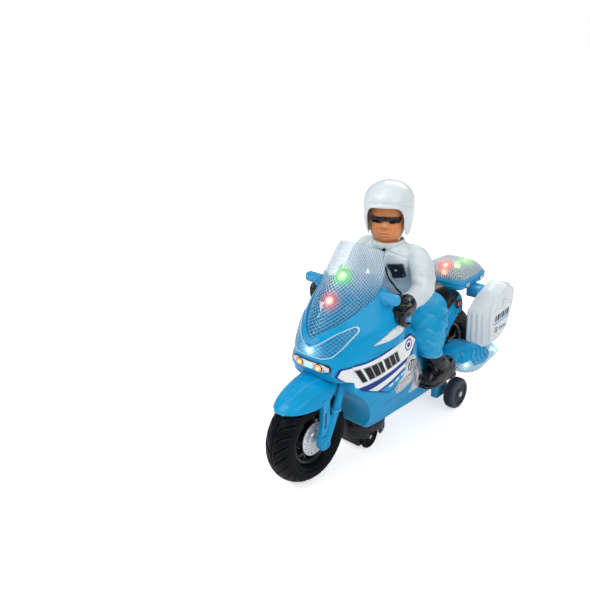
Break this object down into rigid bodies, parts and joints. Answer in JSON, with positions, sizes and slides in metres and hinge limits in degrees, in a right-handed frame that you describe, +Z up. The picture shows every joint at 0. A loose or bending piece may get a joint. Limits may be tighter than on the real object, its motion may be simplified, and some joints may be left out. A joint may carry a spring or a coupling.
{
  "type": "toy motorcycle",
  "caption": "Moulded plastic patrol motorcycle toy with seated rider, clear screen, side wheels and a swivelling battery drive unit under the belly",
  "frame": {"origin": "on the floor under the middle of the toy", "axes": "+Z up, the front of the motorcycle faces -Y, the left side of the motorcycle and rider is +X"},
  "size_m": [0.086, 0.245, 0.192],
  "materials": {
    "body_blue": "moulded glossy blue plastic",
    "trouser_blue": "moulded blue plastic with a soft sheen",
    "shell_white": "moulded glossy white plastic",
    "jacket_white": "moulded white plastic with a soft sheen",
    "skin": "moulded tan plastic",
    "gloss_black": "moulded glossy black plastic",
    "tyre_black": "moulded dark plastic with a satin surface",
    "silver": "vacuum-metallised and silver painted plastic",
    "clear": "clear plastic with a fine prism pattern",
    "red": "moulded red plastic",
    "gear_white": "natural nylon",
    "steel": "plain steel",
    "board": "green laminate",
    "cell": "sleeved steel can"
  },
  "bodies": {
    "chassis": {"body_left": "body_blue", "body_right": "body_blue", "nose_cowl": "body_blue", "front_fork": "body_blue", "front_fender": "body_blue", "tank_cover": "body_blue", "tail_carrier": "body_blue", "exhaust_left": "body_blue", "exhaust_right": "body_blue", "battery_door": "body_blue", "handlebar": "body_blue", "rider_trousers": "trouser_blue", "pannier_left": "shell_white", "pannier_right": "shell_white", "rider_jacket": "jacket_white", "rider_arm_left": "jacket_white", "rider_arm_right": "jacket_white", "seat": "gloss_black", "rider_glove_left": "gloss_black", "rider_glove_right": "gloss_black", "rider_boot_left": "gloss_black", "rider_boot_right": "gloss_black", "speaker": "gloss_black", "engine_trim_left": "silver", "engine_trim_right": "silver", "cowl_trim_left": "silver", "cowl_trim_right": "silver", "lamp_bar": "silver", "windscreen": "clear", "headlamp_lens": "clear", "dome_lens": "clear", "exhaust_lens_left": "clear", "exhaust_lens_right": "clear", "front_axle": "steel", "rear_axle": "steel", "outrigger_axle": "steel", "front_lamp_board": "board", "rear_lamp_board": "board", "circuit_board": "board", "battery_1": "cell", "battery_2": "cell", "battery_3": "cell"},
    "front_wheel": {"front_tyre": "tyre_black", "front_rim": "gloss_black", "front_hub": "silver"},
    "rear_wheel": {"rear_tyre": "tyre_black", "rear_rim": "gloss_black"},
    "left_side_wheel": {"side_wheel_left": "tyre_black"},
    "right_side_wheel": {"side_wheel_right": "tyre_black"},
    "drive_unit": {"drive_case": "gloss_black", "drive_motor": "steel"},
    "drive_wheels": {"drive_axle": "steel", "drive_wheel_left": "tyre_black", "drive_wheel_right": "tyre_black"},
    "idler": {"idler_gear": "gear_white"},
    "pinion": {"motor_pinion": "gear_white"},
    "head": {"rider_head": "skin", "rider_helmet": "shell_white"},
    "switch": {"power_switch": "gloss_black"},
    "button": {"call_button": "red"}
  },
  "joints": [
    {"name": "front_wheel_spin", "type": "hinge", "parent": "chassis", "child": "front_wheel", "pos_m": [0, -0.0895, 0.0334], "axis": [1, 0, 0], "continuous": true},
    {"name": "rear_wheel_spin", "type": "hinge", "parent": "chassis", "child": "rear_wheel", "pos_m": [0, 0.0845, 0.04], "axis": [1, 0, 0], "continuous": true},
    {"name": "left_side_wheel_spin", "type": "hinge", "parent": "chassis", "child": "left_side_wheel", "pos_m": [0.029, 0.059, 0.0128], "axis": [1, 0, 0], "continuous": true},
    {"name": "right_side_wheel_spin", "type": "hinge", "parent": "chassis", "child": "right_side_wheel", "pos_m": [-0.029, 0.059, 0.0128], "axis": [1, 0, 0], "continuous": true},
    {"name": "drive_unit_swivel", "type": "hinge", "parent": "chassis", "child": "drive_unit", "pos_m": [0, -0.0297, 0.02], "axis": [0, 0, 1], "continuous": true},
    {"name": "drive_wheels_spin", "type": "hinge", "parent": "drive_unit", "child": "drive_wheels", "pos_m": [0, -0.0332, 0.009], "axis": [1, 0, 0], "continuous": true},
    {"name": "idler_spin", "type": "hinge", "parent": "drive_unit", "child": "idler", "pos_m": [0, -0.029, 0.01628], "axis": [1, 0, 0], "continuous": true},
    {"name": "pinion_spin", "type": "hinge", "parent": "drive_unit", "child": "pinion", "pos_m": [0, -0.02683, 0.02439], "axis": [1, 0, 0], "continuous": true},
    {"name": "head_turn", "type": "hinge", "parent": "chassis", "child": "head", "pos_m": [0, -0.001, 0.1496], "axis": [0, 0, 1], "range_deg": [-70, 20]},
    {"name": "power_switch_slide", "type": "slide", "parent": "chassis", "child": "switch", "axis": [0, 1, 0], "range_m": [0, 0.003]},
    {"name": "call_button_press", "type": "slide", "parent": "chassis", "child": "button", "axis": [-1, 0, 0], "range_m": [0, 0.0015], "stiffness_N_per_m": 300}
  ],
  "couplings": [
    {"joint": "idler_spin", "follows": "drive_wheels_spin", "ratio": -2.5},
    {"joint": "pinion_spin", "follows": "drive_wheels_spin", "ratio": 6.25}
  ]
}
